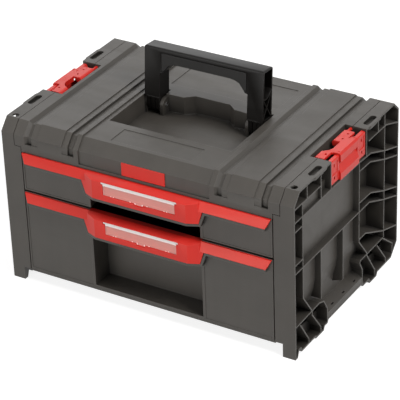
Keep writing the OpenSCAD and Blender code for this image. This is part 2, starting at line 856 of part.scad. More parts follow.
grip_half = handle_half - leg_w - 1.6;
grip_top = handle_reach - 6.5;

// Right half of a grip insert's outline, moved inwards by gap
function grip_outline(gap) = [
    [leg_in - gusset_w - 12, under + gap], [leg_in - gusset_w - 4, under - 1 + gap],
    [leg_in - gusset_w + 3, under - 4 + gap], [leg_in - 6, under - gusset_w + 3.2 + gap],
    [grip_half - gap, under - gusset_w + 2 + gap], [grip_half - gap, grip_top - gap]];

module grip_seat(s) {
    y0 = s > 0 ? half_deep - grip_inset : -half_deep - 1;
    along_y(y0, y0 + grip_inset + 1)
        polygon(mirrored(grip_outline(0)));
}

module leg_pockets() {
    mid_h = leg_start + 32;
    difference() {
        translate([0, leg_start + 3])
            translate([-half_deep + 2.4, 0])
                square([handle_deep - 4.8, handle_reach - leg_start - 6]);
        // Rounded wall between the upper pocket and the ribbed one
        polygon(strip([[-half_deep, mid_h + 2.4], [-half_deep + 5, mid_h], [-3, mid_h], [3, mid_h + 2],
                       [half_deep - 4.6, mid_h + 6.6], [half_deep, mid_h + 14]], 1.6));
        polygon(strip([[-half_deep + 1, leg_start + 2], [half_deep - 1, mid_h + 8]], 1.6));
        polygon(strip([[half_deep - 1, leg_start + 2], [-half_deep + 1, mid_h + 1]], 1.6));
    }
}

module handle_grip() {
    color("#232323")
        on_handle()
            for (s = [-1, 1]) {
                y0 = s > 0 ? half_deep - grip_inset : -half_deep + grip_inset - grip_t;
                along_y(y0, y0 + grip_t)
                    polygon(mirrored(grip_outline(grip_gap)));
            }
}

module handle_pin(side) {
    color(steel_colour)
        translate([side > 0 ? ear_in - ear_t - 0.6 : -ear_out - 2.5, pin_y, pin_z])
            rotate([0, 90, 0])
                cylinder(h = ear_gap + ear_t + 3.1, r = pin_r);
}

module handle_pin_left() {
    handle_pin(-1);
}

module handle_pin_right() {
    handle_pin(1);
}

// ---------------------------------------------------------------- latches

// Link of the right latch: a waisted plate with two arms, hinged at its inner end
arm_y0 = latch_y0 + 1;
arm_y1 = latch_y1 - 12;
plate_x0 = deck_half + 5.4;
lip_low = deck_z - 12.5;
lip_out = half_w + 1;
// Top of the clip's wall, clear of the circle that the lip's corner draws round the pivot
clip_wall_top = clip_pin_z - norm([lip_out - clip_pin_x, clip_pin_z - lip_low]) - run_gap;

module latch_link_solid() {
    difference() {
        union() {
            translate([0, 0, latch_top - link_t])
                linear_extrude(link_t)
                    polygon([[link_pin_x, arm_y0], [plate_x0 + 2.6, arm_y0], [plate_x0 + 3, grip_y0 - 1],
                             [plate_x0 + 5, grip_y0 + 1], [half_w - 1.5, grip_y0 + 1],
                             [half_w - 1.5, grip_y1 - 1], [half_w - 6, grip_y1 - 1],
                             [plate_x0 + 4.5, grip_y1 - 9], [plate_x0 + 4.5, arm_y1],
                             [link_pin_x, arm_y1], [link_pin_x, arm_y1 - 32],
                             [plate_x0, arm_y1 - 32], [plate_x0, grip_y0 + 10],
                             [plate_x0 - 2, grip_y0 + 4], [link_pin_x, grip_y0 - 2]]);
            // Knuckles at the two arms' inner ends
            rod_y(arm_y0, grip_y0 - 2, link_pin_x, link_pin_z, link_knuckle_r);
            rod_y(arm_y1 - 32, arm_y1, link_pin_x, link_pin_z, link_knuckle_r);
            // Flange along the waist's inner edge
            block(plate_x0, plate_x0 + 1.8, grip_y0 + 10, arm_y1 - 32,
                  latch_top - 7.6, latch_top - link_t + eps);
            // Outer lip, rounded over the clip's pivot
            rod_y(grip_y0 + 1, grip_y1 - 1, clip_pin_x, clip_pin_z, clip_knuckle_r);
            along_y(grip_y0 + 1, grip_y1 - 1)
                polygon([[half_w - 3, latch_top - 1], [half_w - 1.5, latch_top],
                         [half_w + 0.6, latch_top - 3], [lip_out, lip_low],
                         [half_w - 1.6, lip_low], [half_w - 3, latch_top - 6]]);
            // Moulded pivots that snap into the pocket's end walls
            rod_y(pocket_y0 - 2.2, arm_y0 + eps, link_pin_x, link_pin_z, pivot_r);
            rod_y(arm_y1 - eps, pocket_y1 + 2.2, link_pin_x, link_pin_z, pivot_r);
        }
        rod_y(grip_y0 - 5, grip_y1 + 5, clip_pin_x, clip_pin_z, pivot_r + pivot_fit);
        // Square holes in the arms and small hollows at the outer corners
        for (y = [arm_y1 - 10, arm_y1 - 25, arm_y0 + 11.5])
            block(plate_x0 - 2.5, plate_x0 + 0.3, y, y + 2.8, latch_top - 2.2, latch_top + 1);
        for (y = [grip_y0 + 3, grip_y1 - 6])
            block(half_w - 5.5, half_w - 2.5, y, y + 3, latch_top - 0.5, latch_top + 1);
    }
}

// Clip of the right latch: two columns and the grip between their feet
module latch_clip_solid() {
    difference() {
        union() {
            for (y = [latch_y0, grip_y1])
                along_y(y, y + column_w)
                    polygon([[column_x - 3.6, clip_bottom], [column_x - 0.4, clip_bottom],
                             [column_x, clip_bottom + 1], [column_x, clip_top - 1.2],
                             [column_x - 1.2, clip_top], [column_x - 6, clip_top],
                             [column_x - 7.6, clip_top - 2.4], [column_x - 7.6, clip_pin_z - 9],
                             [column_x - 3.6, clip_pin_z - 14]]);
            along_y(grip_y0 - eps, grip_y1 + eps)
                polygon([[half_w - 8, grip_bottom + 10], [half_w - 4, grip_bottom],
                         [half_w + 1.4, grip_bottom], [half_w + 1.4, grip_bottom + 9.5],
                         [half_w - 4, grip_bottom + 21],
                         [half_w - 8, grip_bottom + 21]]);
            // Wall behind the gap between the link and the grip
            block(half_w - 8, half_w - 6.4, grip_y0 - eps, grip_y1 + eps, grip_bottom + 12, clip_wall_top);
            // Pivots that reach into the link
            rod_y(grip_y0 - eps, grip_y0 + 8, clip_pin_x, clip_pin_z, pivot_r);
            rod_y(grip_y1 - 8, grip_y1 + eps, clip_pin_x, clip_pin_z, pivot_r);
        }
        // Sunk faces of the columns, each with two small windows
        for (y = [latch_y0 + 3, grip_y1 + 4])
            block(column_x - 0.7, column_x + 1, y, y + column_w - 7, clip_bottom + 13, clip_top - 4);
        for (y = [latch_y0 + 8, latch_y1 - 11], z = [clip_bottom + 5, clip_bottom + 23])
            block(column_x - 2.2, column_x + 2, y, y + 2.6, z, z + 5);
    }
}

module latch_link_right() {
    color(red_colour)
        latch_link_solid();
}

module latch_link_left() {
    color(red_colour)
        mirror([1, 0, 0])
            latch_link_solid();
}

module latch_clip_right() {
    color(red_colour)
        latch_clip_solid();
}

module latch_clip_left() {
    color(red_colour)
        mirror([1, 0, 0])
            latch_clip_solid();
}

// ---------------------------------------------------------------- drawers

// Outline of the pull's bulge seen from above, moved outwards by grow at the front
function bulge_plan(grow) = [
    [-bulge_end, front_y + eps], [-bulge_end, front_y - bar_out_low - grow],
    [-bulge_half, front_y - pull_out - grow], [bulge_half, front_y - pull_out - grow],
    [bulge_end, front_y - bar_out_low - grow], [bulge_end, front_y + eps]];

// Finger space behind the bulge, seen from above
function finger_plan() = [
    [-bulge_end + 4, front_y + 1], [-bulge_end + 4, front_y - bar_out_low + 4],
    [-bulge_half + 1, front_y - pull_out + grip_wall], [bulge_half - 1, front_y - pull_out + grip_wall],
    [bulge_end - 4, front_y - bar_out_low + 4], [bulge_end - 4, front_y + 1]];

// Raised lip of the drawer's front that follows the red pull from below
module tray_lip(z_pull) {
    z_bar = z_pull - bar_h_red;
    z_low = z_pull - bulge_drop;
    mid = lip_gap + lip_h / 2;
    difference() {
        union() {
            both_sides()
                along_y(front_y - bar_out_low + lip_back, front_y + eps)
                    polygon(strip([[bulge_end - 1, z_low - mid], [bulge_end + mid / 2, z_low - mid],
                                   [wing_end + mid, z_bar - mid],
                                   [front_half - bar_end_slope - 1, z_bar - mid]],
                                  lip_h));
            translate([0, 0, z_low - lip_gap - lip_h])
                linear_extrude(lip_h)
                    polygon(bulge_plan(-lip_back));
        }
        translate([0, 0, z_low - bulge_drop])
            linear_extrude(2 * bulge_drop)
                polygon(finger_plan());
    }
}

// Tray with its front; the hand recess is open between hand_z0 and hand_z1
module tray(z0, z1, z_pull, hand_z0, hand_z1, hand_deep) {
    z_flange = z1 - flange_drop;
    wall_top = z_flange + flange_h;
    floor_z = z0 + 1.5;
    union() {
        difference() {
            union() {
                // Front, with a border that stands a little prouder than the panel
                block(-front_half, front_half, front_y, front_y + front_t, z0, z1);
                // Tray walls and the flanges that run on the side frames
                difference() {
                    block(-tray_half, tray_half, front_y + eps, tray_back, floor_z, wall_top);
                    block(-tray_half + tray_t, tray_half - tray_t, front_y + front_t, tray_back - tray_t,
                          floor_z + tray_t, wall_top + 1);
                }
                both_sides() {
                    block(tray_half - eps, bay_half - 1.2, front_y + 10, tray_back, z_flange, wall_top);
                    // Lug that meets the hold-down when the drawer is out
                    block(tray_half - tray_t, bay_half - 1.2, tray_back - lug_l, tray_back,
                          wall_top - eps, wall_top + lug_h);
                }
                // Housing of the hand recess
                block(-hand_half - tray_t, hand_half + tray_t, front_y + eps, front_y + hand_deep + tray_t,
                      floor_z, hand_z1 + tray_t);
            }
            // Hand recess
            block(-hand_half, hand_half, front_y - 20, front_y + hand_deep, hand_z0, hand_z1);
            // Notch for the pull's ledge
            block(-ledge_half - run_gap, ledge_half + run_gap, front_y - 1, front_y + front_t + 1,
                  z_pull - ledge_t - eps, z1 + 1);
            // Sunk panels of the front on both sides of the pull
            both_sides()
                along_y(front_y - 1, front_y + panel_sunk)
                    polygon([[panel_x0, z0 + panel_edge], [front_half - panel_edge, z0 + panel_edge],
                             [front_half - panel_edge, z_pull - bar_h_red - lip_gap - lip_h - 1.2],
                             [wing_end + 9, z_pull - bar_h_red - lip_gap - lip_h - 1.2],
                             [panel_x0, z_pull - bar_h_red - lip_gap - lip_h - 13]]);
        }
        tray_lip(z_pull);
    }
}

module pull(z1) {
    z_bar = z1 - bar_h_red;
    z_low = z1 - bulge_drop;
    y_bar = front_y - bar_out_low;
    y_bulge = front_y - pull_out;
    y_top = front_y - bar_out_top;
    difference() {
        union() {
            // Bar with its slanting face; its ends slope in towards their lower corners
            intersection() {
                along_x(-front_half + 1, front_half - 1)
                    polygon([[front_y, z_bar], [y_bar, z_bar], [y_top, z1], [front_y, z1]]);
                along_y(y_bulge, front_y)
                    polygon([[-front_half + 1, z1], [-front_half + 1 + bar_end_slope, z_bar],
                             [front_half - 1 - bar_end_slope, z_bar], [front_half - 1, z1]]);
            }
            // Wings beside the bulge, which slope up to the bar
            along_y(y_bar, front_y)
                polygon([[-bulge_end, z_low], [bulge_end, z_low],
                         [wing_end, z_bar + eps], [-wing_end, z_bar + eps]]);
            // Bulge with chamfered sides and a top that slopes down to the front
            intersection() {
                translate([0, 0, z_low])
                    linear_extrude(bulge_drop)
                        polygon(bulge_plan(0));
                along_x(-bulge_end, bulge_end)
                    polygon([[y_bulge, z_low], [front_y, z_low], [front_y, z1], [y_top, z1],
                             [y_bulge, z1 - bulge_top]]);
            }
            // Ledge that runs back over the drawer's front
            block(-ledge_half, ledge_half, front_y - eps, front_y + ledge_deep, z1 - ledge_t, z1);
        }
        // Finger space behind the bulge
        translate([0, 0, z_low - 1])
            linear_extrude(bulge_drop - 8)
                polygon(finger_plan());
        // Label window, the groove of its hinge and the notch for a finger under its tab
        block(-label_half - 0.6, label_half + 0.6, y_bulge - 1, y_bulge + window_deep,
              z1 - label_top - label_h - 0.6, z1 - label_top + 1.9);
        rod_x(-label_half - barrel_end - 0.4, label_half + barrel_end + 0.4, label_axis_y, z1 - label_top,
              barrel_r + run_gap);
        block(-label_half - barrel_end - 0.4, label_half + barrel_end + 0.4, y_bulge - 1, label_axis_y,
              z1 - label_top - barrel_r - run_gap, z1 - label_top + barrel_r + run_gap);
        block(-tab_half - 1, tab_half + 1, y_bulge - 1, y_bulge + 2.2,
              z1 - label_top - label_h - 3, z1 - label_top - label_h);
    }
}

// Clear cover with a thicker rim, its hinge bar along the top and a finger tab below
module label_cover(z1) {
    z_axis = z1 - label_top;
    z_foot = z_axis - label_h;
    y_face = label_axis_y - barrel_r;
    union() {
        rod_x(-label_half - barrel_end, label_half + barrel_end, label_axis_y, z_axis, barrel_r);
        block(-label_half, label_half, y_face, label_axis_y + 0.6, z_axis - barrel_r - 0.8, z_axis);
        difference() {
            block(-label_half, label_half, y_face, y_face + cover_t, z_foot, z_axis);
            block(-label_half + cover_rim, label_half - cover_rim, y_face - 1, y_face + 0.4,
                  z_foot + cover_rim, z_axis - barrel_r - 0.8);
        }
        block(-tab_half, tab_half, y_face, y_face + cover_t, z_foot - 1.6, z_foot + eps);
        // Snap studs along the lower edge
        for (x = [-label_half + 12, -label_half + 16, label_half - 16, label_half - 12])
            block(x - 0.8, x + 0.8, y_face, y_face + window_deep - 1.2, z_foot, z_foot + 1.4);
    }
}

module upper_tray() {
    color(shell_colour)
        tray(upper_z0, upper_z1, upper_z1, upper_z0 - 1, upper_z0 + 24.7, 30);
}

module lower_tray() {
    color(shell_colour)
        tray(lower_z0, lower_z1, lower_pull_z, lower_z0 + 3.5, lower_z1 - 39.5, 34);
}

module upper_pull() {
    color(red_colour)
        pull(upper_z1);
}

module lower_pull() {
    color(red_colour)
        pull(lower_pull_z);
}

module upper_label_cover() {
    color(clear_colour)
        label_cover(upper_z1);
}

module lower_label_cover() {
    color(clear_colour)
        label_cover(lower_pull_z);
}

side_frame_left();
side_frame_right();
deck_cover();
back_panel();
base_plate();
badge_plate();
body_screws();
handle_bow();
handle_grip();
handle_pin_left();
handle_pin_right();
latch_link_left();
latch_link_right();
latch_clip_left();
latch_clip_right();
upper_tray();
upper_pull();
upper_label_cover();
lower_tray();
lower_pull();
lower_label_cover();
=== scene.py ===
"""Looks of a portable tool box with two drawers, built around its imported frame."""
import json
import math

import bpy
from bpy.props import FloatProperty, FloatVectorProperty, PointerProperty
from mathutils import Matrix, Vector


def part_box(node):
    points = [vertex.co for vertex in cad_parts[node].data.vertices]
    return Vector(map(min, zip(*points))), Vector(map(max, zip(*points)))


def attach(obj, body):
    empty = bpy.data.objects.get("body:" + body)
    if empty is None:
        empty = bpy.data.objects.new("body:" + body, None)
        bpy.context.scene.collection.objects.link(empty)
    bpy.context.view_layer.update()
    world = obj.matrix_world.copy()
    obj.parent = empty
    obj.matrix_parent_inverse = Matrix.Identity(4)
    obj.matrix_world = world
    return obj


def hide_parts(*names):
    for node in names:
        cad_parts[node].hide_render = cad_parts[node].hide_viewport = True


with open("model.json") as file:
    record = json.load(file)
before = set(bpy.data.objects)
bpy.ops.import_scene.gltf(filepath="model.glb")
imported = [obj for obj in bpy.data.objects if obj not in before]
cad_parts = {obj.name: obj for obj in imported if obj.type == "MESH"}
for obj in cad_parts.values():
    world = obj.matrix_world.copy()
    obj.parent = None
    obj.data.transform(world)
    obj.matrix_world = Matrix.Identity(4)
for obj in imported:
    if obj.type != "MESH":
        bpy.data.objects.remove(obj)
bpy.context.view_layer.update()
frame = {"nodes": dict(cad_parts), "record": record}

bl_info = {
    "name": "Drawer tool box",
    "version": (1, 0, 0),
    "blender": (4, 5, 0),
    "location": "View3D > Sidebar > Tool Box",
    "description": "Finishes a two-drawer tool box: moulded shell, drawers, handle, latches and labels",
    "category": "Object",
}

MM = 0.001

# Places on a label cover: height of its hinge bar, width of its rim, height of the snap marks and
# where each starts and ends, measured both ways from the middle
BAR_HIGH = 5.2 * MM
RIM_WIDE = 1.3 * MM
SNAP_HIGH = 2.6 * MM
SNAPS = ((4.8 * MM, 6.4 * MM), (12 * MM, 14 * MM), (38.2 * MM, 39.8 * MM), (42.2 * MM, 43.8 * MM))

# How much the cover's pane and its thick parts hide of the red behind them; the pane's cloudiness is partly
# the plastic's own and partly a painted sheen, and the thick parts are painted near-opaque white as a
# highlight
PANE_HAZE_AND_SHEEN = 0.33
THICK_HIGHLIGHT = 0.95

# Height of the plastic's texture for a full bump
BUMP_HEIGHT = 0.05 * MM

# How strongly an outer edge and a trace of dust change the colour of a moulding; the lighter outer edge is
# rubbed wear together with a painted edge highlight
EDGE_WEAR_AND_HIGHLIGHT = 0.6
DUST_SHOW = 0.35

# Changes to the roughness of a moulding: slow flow marks, polish on a rubbed edge, and scuffs
FLOW_ROUGH = 0.035
EDGE_POLISH = 0.08
SCUFF_ROUGH = 0.1

# Place of the photograph's camera and width of its sensor in mm
CAMERA_PLACE = (1.31217, -2.11264, 1.54456)
SENSOR_WIDE = 36.0

# The floor lies just below the feet, so that the two faces don't flicker
FLOOR_DROP = 0.4 * MM

# Colours of the painted highlight on the cover's thick parts and of the lamps
RIM_HIGHLIGHT_WHITE = (1.0, 0.985, 0.975, 1.0)
WARM_WHITE = (1.0, 0.99, 0.97)
SOFT_WHITE = (1.0, 0.99, 0.98)

# ---------------------------------------------------------------- settings


class ToolBoxColours(bpy.types.PropertyGroup):
    """Colours of the mouldings and the metal."""

    shell: FloatVectorProperty(name="Shell", description="Warm dark grey of the body mouldings",
                               subtype="COLOR", size=3, default=(0.048, 0.0425, 0.0362))
    handle: FloatVectorProperty(name="Handle", description="Near black of the handle bow",
                                subtype="COLOR", size=3, default=(0.0055, 0.0048, 0.0042))
    grip: FloatVectorProperty(name="Grip", description="Soft insert in the handle's bar",
                              subtype="COLOR", size=3, default=(0.009, 0.0085, 0.008))
    red: FloatVectorProperty(name="Red", description="Pulls, latches and badge plate",
                             subtype="COLOR", size=3, default=(0.66, 0.019, 0.013))
    label: FloatVectorProperty(name="Label cover", description="Milky clear plastic over the label place",
                               subtype="COLOR", size=3, default=(0.97, 0.95, 0.85))
    steel: FloatVectorProperty(name="Steel", description="Handle pins and screws",
                               subtype="COLOR", size=3, default=(0.85, 0.85, 0.86))


class ToolBoxFinish(bpy.types.PropertyGroup):
    """Texture, edge rounding and roughness of the mouldings."""

    grain_size: FloatProperty(name="Grain size", description="Size of one cell of the eroded mould texture",
                              default=0.7 * MM, subtype="DISTANCE", unit="LENGTH")
    edge_radius: FloatProperty(name="Edge radius", description="Rounding that the mould leaves on an edge",
                               default=0.7 * MM, subtype="DISTANCE", unit="LENGTH")
    shell_rough: FloatProperty(name="Shell roughness", description="Roughness of the textured shell",
                               default=0.52, min=0.0, max=1.0, subtype="FACTOR")
    red_rough: FloatProperty(name="Red roughness", description="Roughness of the red mouldings",
                             default=0.42, min=0.0, max=1.0, subtype="FACTOR")


class ToolBoxStage(bpy.types.PropertyGroup):
    """Camera, lamps and backdrop."""

    lens: FloatProperty(name="Lens", description="Focal length for a 36 mm sensor",
                        default=188.2, min=20.0, max=400.0)
    azimuth: FloatProperty(name="Azimuth", description="Turn of the camera to the right of the front",
                           default=0.5563, subtype="ANGLE", unit="ROTATION")
    elevation: FloatProperty(name="Elevation", description="Height of the camera as an angle",
                             default=0.5235, subtype="ANGLE", unit="ROTATION")
    roll: FloatProperty(name="Roll", description="Tilt of the camera about its view",
                        default=-0.0382, subtype="ANGLE", unit="ROTATION")
    key_power: FloatProperty(name="Key light", description="Power of the large lamp above the box",
                             default=10.0, min=0.0)
    fill_power: FloatProperty(name="Fill light", description="Power of the lamp in front of the drawers",
                              default=29.0, min=0.0)
    side_power: FloatProperty(name="Side light", description="Power of the lamp on the right",
                              default=46.0, min=0.0)
    left_power: FloatProperty(name="Left light", description="Power of the lamp on the left",
                              default=10.0, min=0.0)
    rim_power: FloatProperty(name="Rim light", description="Power of the lamp behind the box",
                             default=9.0, min=0.0)
    sky: FloatProperty(name="Ambient", description="Strength of the even light all round",
                       default=0.03, min=0.0)


# ---------------------------------------------------------------- shader node groups


def node_group(name, inputs, outputs):
    """An empty shader node group with named sockets, and its two end nodes."""
    tree = bpy.data.node_groups.new(name, "ShaderNodeTree")
    for label, kind, value in inputs:
        socket = tree.interface.new_socket(name=label, in_out="INPUT", socket_type=kind)
        if value is not None:
            socket.default_value = value
    for label, kind in outputs:
        tree.interface.new_socket(name=label, in_out="OUTPUT", socket_type=kind)
    return tree, tree.nodes.new("NodeGroupInput"), tree.nodes.new("NodeGroupOutput")


def add(tree, kind, **settings):
    """A new node with its settings and its plain input values."""
    node = tree.nodes.new(kind)
    for key, value in settings.items():
        if key == "inputs":
            for socket, number in value.items():
                node.inputs[socket].default_value = number
        else:
            setattr(node, key, value)
    return node


def maths(tree, operation, a, b=None, clamp=False):
    """A Math node; a and b are sockets or numbers."""
    node = add(tree, "ShaderNodeMath", operation=operation, use_clamp=clamp)
    for index, value in enumerate((a, b)):
        if value is None:
            continue
        if isinstance(value, (int, float)):
            node.inputs[index].default_value = value
        else:
            tree.links.new(value, node.inputs[index])
    return node.outputs[0]


def map_range(tree, value, low, high, to_low, to_high):
    """A clamped Map Range of a socket."""
    node = add(tree, "ShaderNodeMapRange")
    tree.links.new(value, node.inputs["Value"])
    for label, number in (("From Min", low), ("From Max", high), ("To Min", to_low), ("To Max", to_high)):
        if isinstance(number, (int, float)):
            node.inputs[label].default_value = number
        else:
            tree.links.new(number, node.inputs[label])
    return node.outputs["Result"]


def mix_colour(tree, mask, a, b):
    """A colour Mix node from a to b where the mask is one; each colour is a socket or a constant."""
    node = add(tree, "ShaderNodeMix", data_type="RGBA")
    tree.links.new(mask, node.inputs[0])
    for index, colour in ((6, a), (7, b)):
        if isinstance(colour, tuple):
            node.inputs[index].default_value = colour
        else:
            tree.links.new(colour, node.inputs[index])
    return node.outputs[2]


def opaque(colour, factor=1.0, lift=0.0):
    """A colour times a factor, plus a lift, with full alpha."""
    return tuple(min(1.0, channel * factor + lift) for channel in colour) + (1.0,)


def noise(tree, vector, **values):
    """A Noise Texture on a vector, as its Fac socket."""
    node = add(tree, "ShaderNodeTexNoise", inputs=values)
    tree.links.new(vector, node.inputs["Vector"])
    return node.outputs["Fac"]


def mapped(tree, vector, **values):
    """A vector that a Mapping node has turned and scaled."""
    node = add(tree, "ShaderNodeMapping", inputs=values)
    tree.links.new(vector, node.inputs["Vector"])
    return node.outputs["Vector"]


def build_grain_group():
    """Spark-eroded mould texture: pits and bumps, and the slow change of tone of a big moulding."""
    tree, start, end = node_group(
        "Moulded grain",
        [("Cell Size", "NodeSocketFloat", 0.7 * MM), ("Depth", "NodeSocketFloat", 1.0)],
        [("Height", "NodeSocketFloat"), ("Tone", "NodeSocketFloat"), ("Flow", "NodeSocketFloat")])
    place = add(tree, "ShaderNodeTexCoord").outputs["Object"]
    scale = maths(tree, "DIVIDE", 1.0, start.outputs["Cell Size"])
    fine = add(tree, "ShaderNodeTexNoise", inputs={"Detail": 3.0, "Roughness": 0.6})
    tree.links.new(place, fine.inputs["Vector"])
    tree.links.new(scale, fine.inputs["Scale"])
    cells = add(tree, "ShaderNodeTexVoronoi", feature="SMOOTH_F1", inputs={"Smoothness": 0.6})
    tree.links.new(place, cells.inputs["Vector"])
    tree.links.new(maths(tree, "MULTIPLY", scale, 0.6), cells.inputs["Scale"])
    height = maths(tree, "ADD", maths(tree, "MULTIPLY", fine.outputs["Fac"], 0.6),
                   maths(tree, "MULTIPLY", cells.outputs["Distance"], 0.5))
    tree.links.new(maths(tree, "MULTIPLY", height, start.outputs["Depth"]), end.inputs["Height"])
    slow = noise(tree, place, Scale=22.0, Detail=4.0, Roughness=0.55)
    streak = noise(tree, mapped(tree, place, Scale=(42.0, 42.0, 4.0)), Scale=1.0, Detail=2.0)
    both = maths(tree, "MULTIPLY", maths(tree, "ADD", slow, streak), 0.5)
    tree.links.new(map_range(tree, both, 0.36, 0.64, 0.0, 1.0), end.inputs["Tone"])
    stretched = mapped(tree, place, Scale=(6.0, 30.0, 30.0))
    flow = noise(tree, stretched, Scale=1.0, Detail=3.0, Distortion=0.8)
    tree.links.new(map_range(tree, flow, 0.35, 0.65, 0.0, 1.0), end.inputs["Flow"])
    return tree


def build_edge_group():
    """Eased edges: a softened normal, a mask of the outer edges for rubbed wear together with a painted
    edge highlight, and a mask of creases and recesses for painted shade.
    """
    tree, start, end = node_group(
        "Eased edges",
        [("Radius", "NodeSocketFloat", 0.7 * MM), ("Height", "NodeSocketFloat", 0.0),
         ("Bump", "NodeSocketFloat", 0.3)],
        [("Edge", "NodeSocketFloat"), ("Crease Shade", "NodeSocketFloat"), ("Normal", "NodeSocketVector")])
    soft = add(tree, "ShaderNodeBevel", samples=6)
    tree.links.new(start.outputs["Radius"], soft.inputs["Radius"])
    face = add(tree, "ShaderNodeNewGeometry")
    dot = add(tree, "ShaderNodeVectorMath", operation="DOT_PRODUCT")
    tree.links.new(soft.outputs["Normal"], dot.inputs[0])
    tree.links.new(face.outputs["Normal"], dot.inputs[1])
    turned = map_range(tree, dot.outputs["Value"], 0.995, 0.85, 0.0, 1.0)
    # Exposed outer edges: the mask of rubbed wear and of a painted edge highlight
    near = add(tree, "ShaderNodeAmbientOcclusion", samples=4, only_local=True,
               inputs={"Distance": 4 * MM})
    outer = map_range(tree, near.outputs["AO"], 0.55, 0.9, 0.0, 1.0)
    tree.links.new(maths(tree, "MULTIPLY", turned, outer), end.inputs["Edge"])
    # Creases and recesses, where close surfaces stand around: the mask of painted shade
    wide = add(tree, "ShaderNodeAmbientOcclusion", samples=10, only_local=True,
               inputs={"Distance": 24 * MM})
    tree.links.new(map_range(tree, wide.outputs["AO"], 0.75, 0.25, 0.0, 1.0), end.inputs["Crease Shade"])
    bump = add(tree, "ShaderNodeBump", inputs={"Distance": BUMP_HEIGHT})
    tree.links.new(start.outputs["Bump"], bump.inputs["Strength"])
    tree.links.new(start.outputs["Height"], bump.inputs["Height"])
    tree.links.new(soft.outputs["Normal"], bump.inputs["Normal"])
    tree.links.new(bump.outputs["Normal"], end.inputs["Normal"])
    return tree


def build_scuff_group():
    """Fine straight scuffs and a trace of dust, stronger where the surface faces up."""
    tree, start, end = node_group(
        "Handling marks",
        [("Amount", "NodeSocketFloat", 0.5)],
        [("Scuff", "NodeSocketFloat"), ("Dust", "NodeSocketFloat")])
    place = add(tree, "ShaderNodeTexCoord").outputs["Object"]
    total = None
    for turn, scale in ((0.5, 90.0), (2.1, 140.0)):
        turned = mapped(tree, place, Rotation=(turn * 0.4, turn * 0.7, turn),
                        Scale=(scale * 0.05, scale, scale))
        mark = map_range(tree, noise(tree, turned, Scale=4.0, Detail=2.0), 0.66, 0.74, 0.0, 1.0)
        total = mark if total is None else maths(tree, "MAXIMUM", total, mark)
    tree.links.new(maths(tree, "MULTIPLY", total, start.outputs["Amount"]), end.inputs["Scuff"])
    face = add(tree, "ShaderNodeNewGeometry")
    split = add(tree, "ShaderNodeSeparateXYZ")
    tree.links.new(face.outputs["Normal"], split.inputs[0])
    upward = map_range(tree, split.outputs["Z"], 0.3, 1.0, 0.0, 1.0)
    cloud = noise(tree, place, Scale=60.0, Detail=6.0, Roughness=0.7)
    speck = map_range(tree, cloud, 0.45, 0.75, 0.0, 1.0)
    dust = maths(tree, "MULTIPLY", maths(tree, "MULTIPLY", upward, speck), start.outputs["Amount"])
    tree.links.new(dust, end.inputs["Dust"])
    return tree


GROUPS = {}


def group_in(tree, name, **values):
    """Places a shared node group in a material with its own values."""
    node = add(tree, "ShaderNodeGroup")
    node.node_tree = GROUPS[name]
    for label, value in values.items():
        node.inputs[label.replace("_", " ")].default_value = value
    return node


# ---------------------------------------------------------------- materials


def new_material(name):
    """A node material, its tree and its Principled shader."""
    material = bpy.data.materials.new(name)
    material.use_nodes = True
    tree = material.node_tree
    shader = tree.nodes["Principled BSDF"]
    return material, tree, shader


def moulded_plastic(name, colour, rough, cell, depth, edge, edge_highlight_lift, scuff, tone_change, crease_shade=0.2,
                    gloss=0.5, sheen=(1.0, 1.0, 1.0)):
    """Textured injection moulding with lighter outer edges, rubbed wear together with a painted edge
    highlight, and painted shade that darkens its creases and recesses.
    """
    material, tree, shader = new_material(name)
    grain = group_in(tree, "grain", Cell_Size=cell, Depth=depth)
    eased = group_in(tree, "edges", Radius=edge, Bump=0.35)
    marks = group_in(tree, "marks", Amount=scuff)
    tree.links.new(grain.outputs["Height"], eased.inputs["Height"])
    body = mix_colour(tree, grain.outputs["Tone"], opaque(colour, 1 - tone_change),
                      opaque(colour, 1 + tone_change))
    # Outer edges turn lighter: rubbed wear together with a painted edge highlight
    edge_mask = maths(tree, "MULTIPLY", eased.outputs["Edge"], EDGE_WEAR_AND_HIGHLIGHT)
    rubbed_and_highlit = mix_colour(tree, edge_mask, body, opaque(colour, edge_highlight_lift, 0.01))
    dust_mask = maths(tree, "MULTIPLY", marks.outputs["Dust"], DUST_SHOW)
    dusty = mix_colour(tree, dust_mask, rubbed_and_highlit, opaque(colour, 1.25, 0.03))
    # Creases and recesses turn darker: painted shade
    final = mix_colour(tree, eased.outputs["Crease Shade"], dusty, opaque(colour, crease_shade))
    tree.links.new(final, shader.inputs["Base Color"])
    base = map_range(tree, grain.outputs["Flow"], 0.0, 1.0, rough - FLOW_ROUGH, rough + FLOW_ROUGH)
    worn = maths(tree, "SUBTRACT", base, maths(tree, "MULTIPLY", eased.outputs["Edge"], EDGE_POLISH))
    scuffed = maths(tree, "MULTIPLY", marks.outputs["Scuff"], SCUFF_ROUGH)
    tree.links.new(maths(tree, "ADD", worn, scuffed, clamp=True), shader.inputs["Roughness"])
    tree.links.new(eased.outputs["Normal"], shader.inputs["Normal"])
    shader.inputs["Specular IOR Level"].default_value = gloss
    shader.inputs["Specular Tint"].default_value = sheen + (1.0,)
    return material


def steel(name, colour):
    """Bright steel of the pins and screws, with fine rings from turning."""
    material, tree, shader = new_material(name)
    place = add(tree, "ShaderNodeTexCoord").outputs["Object"]
    rings = noise(tree, mapped(tree, place, Scale=(1.0, 0.02, 0.02)), Scale=3500.0, Detail=2.0)
    shader.inputs["Metallic"].default_value = 1.0
    ringed = mix_colour(tree, rings, opaque(colour, 0.85), opaque(colour))
    tree.links.new(ringed, shader.inputs["Base Color"])
    tree.links.new(map_range(tree, rings, 0.3, 0.7, 0.22, 0.36), shader.inputs["Roughness"])
    return material


def inside(tree, value, low, high, soft=0.2 * MM):
    """A mask that is one where a coordinate lies between two places."""
    over = map_range(tree, value, low - soft, low + soft, 0.0, 1.0)
    under = map_range(tree, value, high - soft, high + soft, 1.0, 0.0)
    return maths(tree, "MULTIPLY", over, under)


